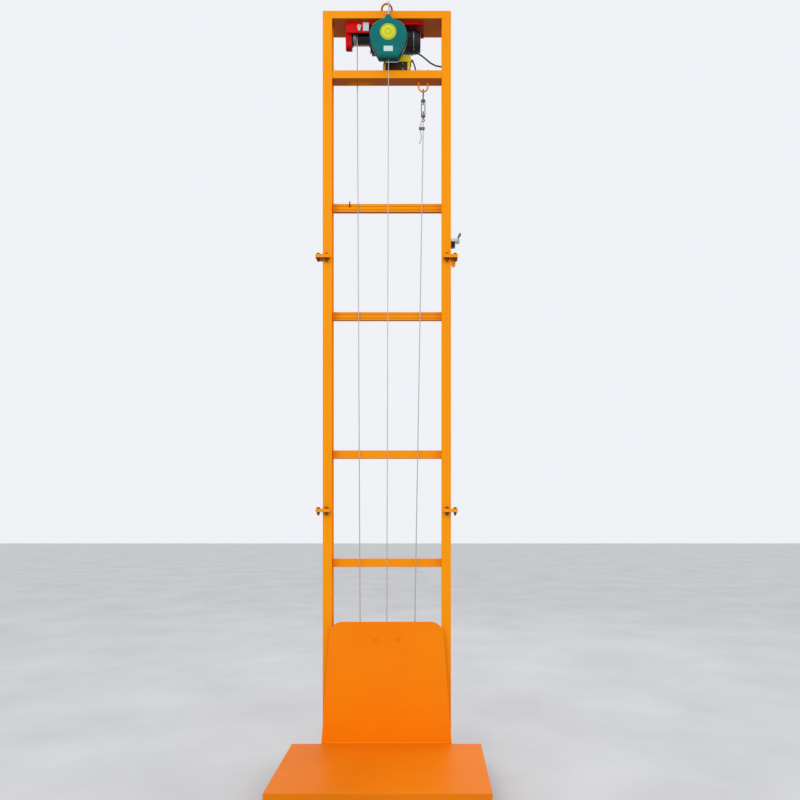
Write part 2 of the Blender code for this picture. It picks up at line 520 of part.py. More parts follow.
# ---- carriage ----------------------------------------------------------------------------
def carriage():
    front = PLATE_BACK - PLATE_THICKNESS
    right = [(PLATE_BOTTOM_HALF, PLATE_LOW), (PLATE_BOTTOM_HALF, DECK_TOP),
             (PLATE_SHOULDER_HALF, PLATE_SHOULDER_Z)]
    right += arc((PLATE_TOP_HALF + 0.010, PLATE_SHOULDER_Z), 0.075, 0, 90, 8)
    outline = right + [(-u, v) for u, v in reversed(right)]
    back = plate("back_plate", outline, "XZ", front, PLATE_BACK, ORANGE)
    for s in (-1, 1):
        cut(back, rod("stud_hole", (s * BRACKET_BOLT_X, -0.05, BRACKET_BOLT_Z),
                      (s * BRACKET_BOLT_X, 0.05, BRACKET_BOLT_Z), 0.0045, cutter=True, sides=16))
    tongue = PLATE_BOTTOM_HALF
    deck_shape = [(-DECK_HALF, DECK_FRONT), (DECK_HALF, DECK_FRONT), (DECK_HALF, DECK_REAR),
                  (tongue, DECK_REAR), (tongue, front - GAP), (-tongue, front - GAP),
                  (-tongue, DECK_REAR), (-DECK_HALF, DECK_REAR)]
    deck = plate("platform_deck", deck_shape, "XY", DECK_TOP - DECK_LIP, DECK_TOP, ORANGE)
    sheet = WALL
    inside = [(-DECK_HALF + sheet, DECK_FRONT + sheet), (DECK_HALF - sheet, DECK_FRONT + sheet),
              (DECK_HALF - sheet, DECK_REAR - sheet), (tongue - sheet, DECK_REAR - sheet),
              (tongue - sheet, front - GAP - sheet), (-tongue + sheet, front - GAP - sheet),
              (-tongue + sheet, DECK_REAR - sheet), (-DECK_HALF + sheet, DECK_REAR - sheet)]
    cut(deck, plate("tray", inside, "XY", DECK_TOP - DECK_LIP - 0.01, DECK_TOP - sheet, cutter=True))
    low, high = DECK_TOP - DECK_LIP, DECK_TOP - sheet - GAP
    arm, reach = 0.020, HALF - POST_FACE / 2
    y_front, y_rear = DECK_FRONT + sheet + GAP, front - GAP - sheet - GAP
    frame = box("platform_frame", (-0.020, y_front, low), (0.020, y_rear, high), ORANGE)
    for s in (-1, 1):
        join(frame, box("arm", (s * reach - arm, y_front, low), (s * reach + arm, y_rear, high),
                        cutter=True))
    span = (y_rear - y_front - 0.040) / 2
    for i in range(3):
        y = y_front + 0.020 + i * span
        join(frame, box("crossbar", (-reach, y - 0.0199, low + 0.0001), (reach, y + 0.0199, high - 0.0001),
                        cutter=True))
    y0 = PLATE_BACK + GAP
    side_in, side_out = 0.288, 0.316
    bar = box("carriage_frame", (-side_in - 0.005, y0, 0.140), (side_in + 0.005, FRAME_BACK, 0.190), ORANGE)
    join(bar, box("sheave_bar", (-side_in - 0.005, y0, 0.665), (side_in + 0.005, FRAME_BACK, 0.725),
                  cutter=True),
         box("centre_bar", (-0.030, y0 + 0.0001, 0.150), (0.030, FRAME_BACK - 0.0001, 0.700), cutter=True))
    for s in (-1, 1):
        xs = sorted((s * side_in, s * side_out))
        join(bar, box("side_bar", (xs[0], y0 - 0.0001, 0.100), (xs[1], 0.050, 0.800), cutter=True))
        for z in ROLLER_LEVELS.values():
            join(bar, rod("axle", (s * (side_out - 0.01), BEAM_MID_Y, z), (s * 0.3715, BEAM_MID_Y, z),
                          0.0090, cutter=True))
    for x in sheave_centres():
        join(bar, rod("sheave_pin", (x, FRAME_BACK - 0.002, SHEAVE_Z), (x, 0.0450, SHEAVE_Z), 0.0080,
                      cutter=True))
    for name, z in ROLLER_LEVELS.items():
        for word, s in (("left", -1), ("right", 1)):
            roller(f"{name}_{word}_roller", s, z)
    for word, x in zip(("left", "right"), sheave_centres()):
        sheave(f"{word}_sheave", x)
    rope_bracket(front)


def roller(name, side, z):
    x = side * 0.3500
    half = ROLLER_WIDTH / 2
    made = rod(name, (x - half, BEAM_MID_Y, z), (x + half, BEAM_MID_Y, z), ROLLER_RADIUS, NYLON, sides=36)
    cut(made, rod("bore", (x - 0.05, BEAM_MID_Y, z), (x + 0.05, BEAM_MID_Y, z), 0.0093, cutter=True))
    set_origin(made, (x, BEAM_MID_Y, z))


def sheave_centres():
    return LEFT_ROPE_LOW_X + SHEAVE_RADIUS, RIGHT_ROPE_LOW_X - SHEAVE_RADIUS


def sheave(name, x):
    """A grooved wheel turned about the Y axis."""
    groove, rim = SHEAVE_RADIUS - ROPE / 2 - GAP, SHEAVE_RADIUS + 0.007
    half = 0.0100
    made = rod(name, (x, ROPE_PLANE - half, SHEAVE_Z), (x, ROPE_PLANE + half, SHEAVE_Z), groove, STEEL,
               sides=36)
    join(made, rod("front_rim", (x, ROPE_PLANE - half, SHEAVE_Z), (x, ROPE_PLANE - 0.0036, SHEAVE_Z), rim,
                   cutter=True, sides=36, end_radius=rim - 0.004),
         rod("rear_rim", (x, ROPE_PLANE + 0.0036, SHEAVE_Z), (x, ROPE_PLANE + half, SHEAVE_Z), rim - 0.004,
             cutter=True, sides=36, end_radius=rim))
    cut(made, rod("bore", (x, 0, SHEAVE_Z), (x, 0.06, SHEAVE_Z), 0.0083, cutter=True))
    set_origin(made, (x, ROPE_PLANE, SHEAVE_Z))


def rope_bracket(front):
    """The plate that holds the arrester's rope, with its studs through the back plate."""
    made = box("rope_bracket", (-0.085, PLATE_BACK + GAP, 0.7260), (0.085, -0.0030, 0.7950), STEEL)
    for s in (-1, 1):
        x, z = s * BRACKET_BOLT_X, BRACKET_BOLT_Z
        join(made, rod("stud", (x, front - 0.008, z), (x, PLATE_BACK + 0.002, z), 0.0040, cutter=True,
                       sides=16),
             rod("nut", (x, front - 0.0065, z), (x, front - GAP, z), 0.0085, cutter=True, sides=6))


# ---- ropes and cables --------------------------------------------------------------------
def ropes():
    drum_side = HOIST_Y - DRUM_RADIUS
    left = [(LEFT_ROPE_TOP_X, drum_side, DRUM_Z), (LEFT_ROPE_LOW_X, ROPE_PLANE, SHEAVE_Z)]
    right = [(DEAD_END_X - 0.0005, BEAM_MID_Y, 3.8180), (DEAD_END_X - 0.0005, BEAM_MID_Y, 3.7500),
             (RIGHT_ROPE_LOW_X, ROPE_PLANE, SHEAVE_Z)]
    middle = (ARREST_FRONT + ARREST_REAR) / 2
    life = [(ARREST_X, middle, ARREST_LOW + 0.0010), (0.0, -0.0065, 0.7955)]
    bent_bar("hoist_rope_left", left, ROPE / 2, WIRE)
    bent_bar("hoist_rope_right", right, ROPE / 2, WIRE)
    bent_bar("arrester_rope", life, LIFELINE / 2, WIRE)
    a, b = sheave_centres()
    under = [(u, ROPE_PLANE, v) for u, v in arc((a, SHEAVE_Z), SHEAVE_RADIUS, 180.6, 270, 12)]
    under += [(u, ROPE_PLANE, v) for u, v in arc((b, SHEAVE_Z), SHEAVE_RADIUS, 270, 359.4, 12)]
    bent_bar("hoist_rope_cross", under, ROPE / 2, WIRE)


MOTOR_LEAD = [(0.1400, 0.0790, 4.2590), (0.1620, 0.0790, 4.2595), (0.1850, 0.0800, 4.2560),
              (0.2200, 0.0820, 4.2340), (0.2580, 0.0860, 4.2040), (0.2900, 0.0900, 4.1900),
              (0.3300, 0.0940, 4.1840), (0.3620, 0.0945, 4.1600), (0.3680, 0.0880, 4.1000),
              (0.3680, 0.0860, 3.9500), (0.3680, 0.0860, 3.6500), (0.3680, 0.0860, 3.3500),
              (0.3680, 0.0860, 3.1500), (0.3720, 0.0870, 3.1050), (0.3835, 0.0875, 3.0880),
              (0.3915, 0.0780, 3.0810), (0.3925, 0.0620, 3.0800), (0.3925, 0.0425, 3.0800)]
BOX_LEAD = [(0.1472, 0.0360, 4.1850), (0.1550, 0.0370, 4.1790), (0.1630, 0.0400, 4.1600),
            (0.1690, 0.0440, 4.1350), (0.1720, 0.0460, 4.1096)]


def cables():
    bent_bar("motor_cable", smooth_path(MOTOR_LEAD, 0.024), CABLE / 2, BLACK)
    bent_bar("control_cable", smooth_path(BOX_LEAD, 0.016), CABLE / 2, BLACK)


base()
mast()
head()
hoist()
arrester()
dead_end()
limit_switch()
carriage()
ropes()
cables()
print(len(PARTS.objects), "parts")
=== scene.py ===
"""The looks of the ladder-track material lift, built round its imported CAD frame."""
import math

import bmesh
import bpy
from mathutils import Matrix, Vector


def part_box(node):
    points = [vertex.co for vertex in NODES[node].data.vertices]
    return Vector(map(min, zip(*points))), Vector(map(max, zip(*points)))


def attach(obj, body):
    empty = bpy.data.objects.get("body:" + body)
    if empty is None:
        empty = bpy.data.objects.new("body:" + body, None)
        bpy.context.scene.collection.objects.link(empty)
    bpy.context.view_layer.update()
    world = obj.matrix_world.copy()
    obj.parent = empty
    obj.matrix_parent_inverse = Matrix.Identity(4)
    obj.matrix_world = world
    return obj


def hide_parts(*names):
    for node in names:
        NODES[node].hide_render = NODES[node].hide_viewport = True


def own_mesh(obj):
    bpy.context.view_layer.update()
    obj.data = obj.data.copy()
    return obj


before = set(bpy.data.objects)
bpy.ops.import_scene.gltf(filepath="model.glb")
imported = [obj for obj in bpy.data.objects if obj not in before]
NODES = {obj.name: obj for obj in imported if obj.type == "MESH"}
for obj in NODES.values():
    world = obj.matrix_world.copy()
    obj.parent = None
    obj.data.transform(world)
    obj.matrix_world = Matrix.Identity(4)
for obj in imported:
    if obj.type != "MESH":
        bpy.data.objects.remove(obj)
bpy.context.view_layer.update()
ROOT, CARRIAGE = "mast", "carriage"

# ---- camera, light and floor ---------------------------------------------------------------
camera = bpy.data.objects.new("camera", bpy.data.cameras.new("camera"))
camera.location = (0.239, -4.28, 1.49)
camera.rotation_euler = (math.radians(90), 0, 0)
camera.data.lens = 32.5
camera.data.sensor_width = 36
camera.data.shift_x = -0.034
camera.data.shift_y = 0.140
bpy.context.scene.collection.objects.link(camera)
bpy.context.scene.camera = camera
bpy.context.scene.view_settings.view_transform = "Standard"


def area_light(name, place, target, size, power, tint=(1, 1, 1)):
    light = bpy.data.lights.new(name, "AREA")
    light.shape = "RECTANGLE"
    light.size, light.size_y = size
    light.energy = power
    light.color = tint
    lamp = bpy.data.objects.new(name, light)
    lamp.location = place
    aim = Vector(target) - Vector(place)
    lamp.rotation_euler = aim.to_track_quat("-Z", "Y").to_euler()
    bpy.context.scene.collection.objects.link(lamp)


area_light("key", (-3.2, -5.5, 5.5), (0, 0, 2.2), (4.0, 5.0), 100)
area_light("fill", (4.0, -5.0, 3.0), (0, 0, 2.2), (4.0, 5.0), 35)
area_light("rim", (1.5, 4.5, 5.5), (0, 0, 2.5), (4.0, 3.0), 60)

world = bpy.data.worlds.new("studio")
world.use_nodes = True
world.node_tree.nodes["Background"].inputs["Color"].default_value = (0.94, 0.96, 1.00, 1)
world.node_tree.nodes["Background"].inputs["Strength"].default_value = 0.92
bpy.context.scene.world = world


# ---- materials -----------------------------------------------------------------------------
class Surface:
    """A Principled material whose colour, roughness and bump come from textures in object space."""

    def __init__(self, name, metallic=0.0, specular=0.5, coat=0.0, coat_roughness=0.2):
        self.made = bpy.data.materials.new(name)
        self.made.use_nodes = True
        self.tree = self.made.node_tree
        self.shader = self.tree.nodes["Principled BSDF"]
        self.shader.inputs["Metallic"].default_value = metallic
        self.shader.inputs["Specular IOR Level"].default_value = specular
        self.shader.inputs["Coat Weight"].default_value = coat
        self.shader.inputs["Coat Roughness"].default_value = coat_roughness
        self.place = self.node("ShaderNodeTexCoord").outputs["Object"]
        self.height = None

    def node(self, kind, **values):
        made = self.tree.nodes.new(kind)
        for key, value in values.items():
            setattr(made, key, value)
        return made

    def link(self, source, target):
        self.tree.links.new(source, target)

    def noise(self, scale, detail=4.0, stretch=(1, 1, 1), rough=0.55):
        mapping = self.node("ShaderNodeMapping")
        mapping.inputs["Scale"].default_value = stretch
        self.link(self.place, mapping.inputs["Vector"])
        texture = self.node("ShaderNodeTexNoise")
        texture.inputs["Scale"].default_value = scale
        texture.inputs["Detail"].default_value = detail
        texture.inputs["Roughness"].default_value = rough
        self.link(mapping.outputs["Vector"], texture.inputs["Vector"])
        return texture.outputs["Fac"]

    def ramp(self, source, stops):
        ramp = self.node("ShaderNodeValToRGB")
        elements = ramp.color_ramp.elements
        while len(elements) < len(stops):
            elements.new(0.5)
        for element, (place, colour) in zip(elements, stops):
            element.position = place
            element.color = (*colour, 1)
        self.link(source, ramp.inputs["Fac"])
        return ramp.outputs["Color"]

    def mix(self, factor, a, b):
        mixer = self.node("ShaderNodeMix", data_type="RGBA")
        self.link(factor, mixer.inputs["Factor"])
        for value, slot in ((a, mixer.inputs["A"]), (b, mixer.inputs["B"])):
            if isinstance(value, tuple):
                slot.default_value = (*value, 1)
            else:
                self.link(value, slot)
        return mixer.outputs["Result"]

    def colour(self, source):
        self.link(source, self.shader.inputs["Base Color"])

    def roughness(self, source, low, high):
        spread = self.node("ShaderNodeMapRange")
        spread.inputs["To Min"].default_value = low
        spread.inputs["To Max"].default_value = high
        self.link(source, spread.inputs["Value"])
        self.link(spread.outputs["Result"], self.shader.inputs["Roughness"])

    def bump(self, source, strength, distance):
        bump = self.node("ShaderNodeBump")
        bump.inputs["Strength"].default_value = strength
        bump.inputs["Distance"].default_value = distance
        self.link(source, bump.inputs["Height"])
        if self.height:
            self.link(self.height, bump.inputs["Normal"])
        self.height = bump.outputs["Normal"]
        self.link(self.height, self.shader.inputs["Normal"])


def grey(value):
    return (value, value, value)


def painted(name, light, deep, chip, chips=0.75, roughness=(0.30, 0.46), coat=0.02):
    """Sprayed paint: slow colour changes, orange peel, dust, small chips, and painted shade on
    faces that point down.
    """
    made = Surface(name, specular=0.07, coat=coat, coat_roughness=0.25)
    slow = made.noise(1.7, 3.0)
    body = made.ramp(slow, [(0.30, deep), (0.70, light)])
    dust = made.ramp(made.noise(5.0, 5.0, (1, 1, 0.18)), [(0.52, grey(0.0)), (0.86, grey(0.14))])
    body = made.mix(dust, body, tuple(0.85 * c + 0.02 for c in light))
    spots = made.ramp(made.noise(95.0, 2.0), [(chips, grey(0)), (chips + 0.015, grey(1))])
    body = made.mix(spots, body, chip)
    # painted shade: faces that point down are mixed towards a darker, redder copy of the paint
    # colour, standing in for the shade under them
    facing = made.node("ShaderNodeSeparateXYZ")
    made.link(made.node("ShaderNodeNewGeometry").outputs["Normal"], facing.inputs["Vector"])
    underside_shade_mask = made.node("ShaderNodeMapRange")
    made.link(facing.outputs["Z"], underside_shade_mask.inputs["Value"])
    for socket, value in (("From Min", -0.25), ("From Max", -0.90),
                          ("To Min", 0.0), ("To Max", 0.80)):
        underside_shade_mask.inputs[socket].default_value = value
    shade = (0.20 * deep[0], 0.05 * deep[1], deep[2])
    made.colour(made.mix(underside_shade_mask.outputs["Result"], body, shade))
    made.roughness(made.noise(9.0, 4.0), *roughness)
    made.bump(made.noise(420.0, 2.0), 0.10, 0.0006)
    made.bump(spots, -0.25, 0.0004)
    return made.made


def metal(name, light, deep, roughness=(0.22, 0.42), grain=(1, 1, 1), scale=60.0):
    made = Surface(name, metallic=1.0)
    body = made.ramp(made.noise(scale, 5.0, grain), [(0.30, deep), (0.72, light)])
    grime = made.ramp(made.noise(14.0, 4.0), [(0.58, grey(0)), (0.80, grey(0.45))])
    made.colour(made.mix(grime, body, tuple(c * 0.45 for c in deep)))
    made.roughness(made.noise(scale * 1.7, 4.0, grain), *roughness)
    made.bump(made.noise(scale * 5.0, 3.0, grain), 0.12, 0.0004)
    return made.made


def moulded(name, light, deep, roughness=(0.32, 0.50), grain=520.0, specular=0.25, coat=0.0):
    """Moulded plastic, rubber or enamel: fine grain, faint mottling and soft rubbed patches."""
    made = Surface(name, specular=specular, coat=coat)
    body = made.ramp(made.noise(11.0, 4.0), [(0.32, deep), (0.72, light)])
    rubbed = made.ramp(made.noise(34.0, 5.0), [(0.62, grey(0)), (0.84, grey(0.30))])
    made.colour(made.mix(rubbed, body, tuple(min(1, c * 1.15 + 0.006) for c in light)))
    made.roughness(made.noise(26.0, 4.0), *roughness)
    made.bump(made.noise(grain, 2.0), 0.16, 0.0004)
    return made.made


def tile(name):
    """The studio floor."""
    made = Surface(name)
    made.colour(made.ramp(made.noise(1.2, 3.0), [(0.3, grey(0.56)), (0.7, grey(0.64))]))
    made.roughness(made.noise(4.0), 0.55, 0.70)
    return made.made


ORANGE = painted("orange_paint", (0.995, 0.350, 0.002), (0.970, 0.300, 0.001), (0.30, 0.09, 0.01))
ORANGE_PLATE = painted("orange_paint_plate", (0.995, 0.270, 0.001), (0.960, 0.235, 0.001),
                       (0.40, 0.12, 0.01), chips=0.77)
ORANGE_DECK = painted("orange_paint_deck", (0.900, 0.225, 0.003), (0.800, 0.190, 0.003),
                      (0.40, 0.14, 0.03), chips=0.76, roughness=(0.36, 0.55))
RED = painted("red_paint", (0.80, 0.003, 0.004), (0.66, 0.002, 0.003), (0.10, 0.02, 0.02))
BLACK = moulded("black_enamel", (0.010, 0.010, 0.012), (0.004, 0.004, 0.005), (0.20, 0.36),
                coat=0.06)
# painted shade: the control box is dark plastic tinted red-brown like orange paint in shade, so
# part of its colour stands in for shade
DARK_PAINTED_SHADE = moulded("dark_plastic", (0.060, 0.022, 0.012), (0.022, 0.008, 0.006), (0.40, 0.58))
YELLOW = moulded("yellow_plastic", (0.86, 0.66, 0.02), (0.78, 0.53, 0.01), (0.30, 0.46))
DISC = moulded("yellow_disc", (0.72, 0.74, 0.03), (0.62, 0.64, 0.02), (0.30, 0.42), grain=300.0)
AMBER = moulded("amber_plastic", (0.62, 0.40, 0.07), (0.45, 0.24, 0.04), (0.30, 0.45))
TEAL = moulded("teal_plastic", (0.000, 0.175, 0.165), (0.000, 0.145, 0.138), (0.30, 0.46),
               specular=0.12)
# painted shade: a darker copy of the arrester's teal plastic for its rear shell, standing in for
# the shade on the casing's back and underside; the disc rings use the same darker teal
TEAL_SHADED = moulded("teal_plastic_painted_shade", (0.002, 0.070, 0.064), (0.001, 0.045, 0.042), (0.36, 0.52))
RUBBER = moulded("rubber", (0.028, 0.028, 0.028), (0.014, 0.014, 0.014), (0.62, 0.82), specular=0.3)
JACKET = moulded("cable_jacket", (0.020, 0.020, 0.021), (0.010, 0.010, 0.011), (0.38, 0.55))
NYLON = moulded("nylon", (0.17, 0.17, 0.165), (0.11, 0.11, 0.11), (0.38, 0.55))
LABEL = moulded("blank_label", (0.66, 0.76, 0.76), (0.56, 0.68, 0.68), (0.30, 0.42), grain=200.0)
STEEL = metal("zinc_steel", (0.62, 0.62, 0.63), (0.40, 0.40, 0.41))
ROPE_STEEL = metal("wire_rope", (0.62, 0.61, 0.59), (0.40, 0.40, 0.39), (0.36, 0.55), scale=400.0)
ALLOY = metal("cast_alloy", (0.70, 0.71, 0.72), (0.52, 0.53, 0.54), (0.30, 0.48), scale=120.0)
# painted shade: bolt heads, nuts and screws are a dark red-brown, like orange paint in shade,
# partly steel colour and partly standing in for the dim shade on the painted lug bolts
BOLT_SHADED = metal("bolt_steel_painted_shade", (0.20, 0.10, 0.035), (0.08, 0.03, 0.012), (0.35, 0.55), scale=150.0)
DULL = metal("dull_steel", (0.26, 0.25, 0.24), (0.11, 0.105, 0.10), (0.34, 0.52), scale=150.0)
FLOOR = tile("studio_floor")

floor_mesh = bmesh.new()
bmesh.ops.create_grid(floor_mesh, x_segments=1, y_segments=1, size=30)
floor_data = bpy.data.meshes.new("floor")
floor_mesh.to_mesh(floor_data)
floor_mesh.free()
floor = bpy.data.objects.new("floor", floor_data)
floor.location.z = -0.0005
floor_data.materials.append(FLOOR)
bpy.context.scene.collection.objects.link(floor)


# ---- tools for the pieces --------------------------------------------------------------------
LAY = 13  # a rope's lay, in rope radii


def piece(name, bm, mat, body, bevel=0.0, smooth=40, segments=2):
    """A finished mesh piece that rides on a body."""
    mesh = bpy.data.meshes.new(name)
    bmesh.ops.recalc_face_normals(bm, faces=bm.faces)
    bm.to_mesh(mesh)
    bm.free()
    mesh.materials.append(mat)
    mesh.shade_smooth()
    mesh.set_sharp_from_angle(angle=math.radians(smooth))
    made = bpy.data.objects.new(name, mesh)
    bpy.context.scene.collection.objects.link(made)
    if bevel:
        edge = made.modifiers.new("edge", "BEVEL")
        edge.width, edge.segments, edge.limit_method = bevel, segments, "ANGLE"
        edge.angle_limit = math.radians(35)
    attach(made, body)
    return made


def add_box(bm, low, high):
    low, high = Vector(low), Vector(high)
    new = bmesh.ops.create_cube(bm, size=1.0)["verts"]
    bmesh.ops.scale(bm, vec=high - low, verts=new)
    bmesh.ops.translate(bm, vec=(low + high) / 2, verts=new)


def add_rod(bm, start, end, radius, end_radius=None, sides=24):
    start, end = Vector(start), Vector(end)
    axis = end - start
    turn = Vector((0, 0, 1)).rotation_difference(axis.normalized()).to_matrix().to_4x4()
    bmesh.ops.create_cone(bm, cap_ends=True, segments=sides, radius1=radius,
                          radius2=radius if end_radius is None else end_radius, depth=axis.length,
                          matrix=Matrix.Translation((start + end) / 2) @ turn)


def add_turned(bm, origin, axis, profile, sides=32):
    """A closed body turned round an axis: profile is a list of (height along the axis, radius)."""
    turn = Vector((0, 0, 1)).rotation_difference(Vector(axis).normalized())
    origin = Vector(origin)
    rings = []
    for height, radius in profile:
        angles = [math.tau * i / sides for i in range(sides)]
        rings.append([bm.verts.new(origin + turn @ Vector((radius * math.cos(a),
                                                           radius * math.sin(a), height)))
                      for a in angles])
    for lower, upper in zip(rings, rings[1:]):
        for i in range(sides):
            j = (i + 1) % sides
            bm.faces.new((lower[i], lower[j], upper[j], upper[i]))
    bm.faces.new(list(reversed(rings[0])))
    bm.faces.new(rings[-1])


def add_tube(bm, path, section, closed=False):
    """Sweeps a section along path; section(i, share) lists its (radius, angle) pairs."""
    path = [Vector(p) for p in path]
    count = len(path)
    side = None
    rings = []
    for i, point in enumerate(path):
        after = path[(i + 1) % count] if closed or i + 1 < count else point
        before = path[i - 1] if closed or i else point
        ahead = (after - before).normalized()
        if side is None:
            side = ahead.orthogonal().normalized()
        side = (side - ahead * side.dot(ahead)).normalized()
        up = ahead.cross(side)
        rings.append([bm.verts.new(point + side * r * math.cos(a) + up * r * math.sin(a))
                      for r, a in section(i, i / (count - 1))])
    pairs = list(zip(rings, rings[1:])) + ([(rings[-1], rings[0])] if closed else [])
    for lower, upper in pairs:
        for i in range(len(lower)):
            j = (i + 1) % len(lower)
            bm.faces.new((lower[i], lower[j], upper[j], upper[i]))
    if not closed:
        bm.faces.new(list(reversed(rings[0])))
        bm.faces.new(rings[-1])


def round_section(radius, sides=12):
    return lambda i, share: [(radius, math.tau * k / sides) for k in range(sides)]


def stranded_section(radius, step, lay, sides=18, strands=6):
    """A rope's outline: round strands that wind once in each lay."""
    groove = 0.10

    def section(i, share):
        turn = math.tau * i * step / lay
        return [(radius * (1 - groove + groove * abs(math.cos(strands / 2 * math.tau * k / sides))),
                 math.tau * k / sides + turn) for k in range(sides)]

    return section


def even_path(points, step):
    """Points a step apart along a straight or bent line."""
    points = [Vector(p) for p in points]
    path = []
    for a, b in zip(points, points[1:]):
        count = max(1, round((b - a).length / step))
        path += [a.lerp(b, i / count) for i in range(count)]
    return path + [points[-1]]


def smooth_path(points, step):
    points = [Vector(p) for p in points]
    ends = [2 * points[0] - points[1]] + points + [2 * points[-1] - points[-2]]
    path = [points[0]]
    for a, b, c, d in zip(ends, ends[1:], ends[2:], ends[3:]):
        count = max(1, round((c - b).length / step))
        for i in range(1, count + 1):
            t = i / count
            path.append(0.5 * (2 * b + (c - a) * t + (2 * a - 5 * b + 4 * c - d) * t * t
                               + (3 * b - a - 3 * c + d) * t ** 3))
    return path


def arc(centre, radius, start, end, count):
    turns = [math.radians(start + (end - start) * i / (count - 1)) for i in range(count)]
    return [(centre[0] + radius * math.cos(t), centre[1] + radius * math.sin(t)) for t in turns]


def middle(node):
    low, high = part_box(node)
    return (low + high) / 2


# ---- the CAD nodes' own finish ---------------------------------------------------------------
FINISH = {ORANGE: ("base_frame", "head_hood", "head_beam", "hanging_ring", "u_bolt",
                   "platform_frame", "carriage_frame"),
          ORANGE_PLATE: ("back_plate", "rope_bracket"),
          ORANGE_DECK: ("platform_deck",),
          RED: ("hoist_frame", "drum_end_housing"),
          BLACK: ("hoist_gearbox", "hoist_motor", "motor_fan_cover", "rope_drum",
                  "limit_switch_body"),
          DARK_PAINTED_SHADE: ("control_box",), YELLOW: ("control_box_cover",),
          TEAL: ("arrester_front_shell",), TEAL_SHADED: ("arrester_rear_shell",),
          STEEL: ("arrester_reel", "arrester_swivel", "rope_stop_lever", "limit_switch_lever",
                  "left_sheave", "right_sheave"),
          DULL: ("turnbuckle_body", "turnbuckle_hook", "turnbuckle_eye", "rope_clip"),
          ALLOY: ("limit_switch_head",), RUBBER: ("left_buffer", "right_buffer"),
          JACKET: ("motor_cable", "control_cable"), NYLON: ("limit_switch_roller",)}
BEVELS = {"head_hood": 0.0025, "head_beam": 0.0030, "base_frame": 0.0030, "platform_deck": 0.0030,
          "back_plate": 0.0012, "platform_frame": 0.0020}


def finish_nodes():
    mats = {node: mat for mat, nodes in FINISH.items() for node in nodes}
    for name, node in NODES.items():
        mat = mats.get(name)
        if mat is None:
            mat = (BOLT_SHADED if name.startswith("lug_bolt") else NYLON if name.endswith("roller")
                   else ROPE_STEEL if "rope" in name else ORANGE)
        node.data.materials.clear()
        node.data.materials.append(mat)
        width = BEVELS.get(name) or (0.0028 if "post" in name or "rung" in name else 0)
        if width:
            weld = node.modifiers.new("weld", "WELD")
            weld.merge_threshold = 0.00002
            edge = node.modifiers.new("edge", "BEVEL")
            edge.width, edge.segments, edge.limit_method = width, 2, "ANGLE"
            edge.angle_limit = math.radians(50)


# ---- ropes -----------------------------------------------------------------------------------
def stranded(name, points, radius, body, node, joint_anchor=None, step=0.005):
    bm = bmesh.new()
    path = even_path(points, step)
    add_tube(bm, path, stranded_section(radius, step, radius * LAY))
    made = piece(name, bm, ROPE_STEEL, body, smooth=60)
    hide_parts(node)
    if joint_anchor is not None:
        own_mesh(made)


ROPE_RADIUS = 0.003
ARREST_ROPE_RADIUS = 0.0025
DRUM = middle("rope_drum")
DRUM_RADIUS = 0.036
SHEAVE_LEFT, SHEAVE_RIGHT = middle("left_sheave"), middle("right_sheave")
SHEAVE_RADIUS = 0.045
ARREST_LOW, ARREST_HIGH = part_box("arrester_rear_shell")
ARREST = middle("arrester_rear_shell")
FACE_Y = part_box("arrester_front_shell")[0].y


def wound(x, pitch, first, turns):
    """Rope wound on the drum: from angle first, a pitch further along x in each turn."""
    count = int(abs(turns) * 36)
    return [(x + pitch * turns * i / count,
             DRUM.y + DRUM_RADIUS * math.cos(first + math.tau * turns * i / count),
             DRUM.z + DRUM_RADIUS * math.sin(first + math.tau * turns * i / count))
            for i in range(count + 1)]


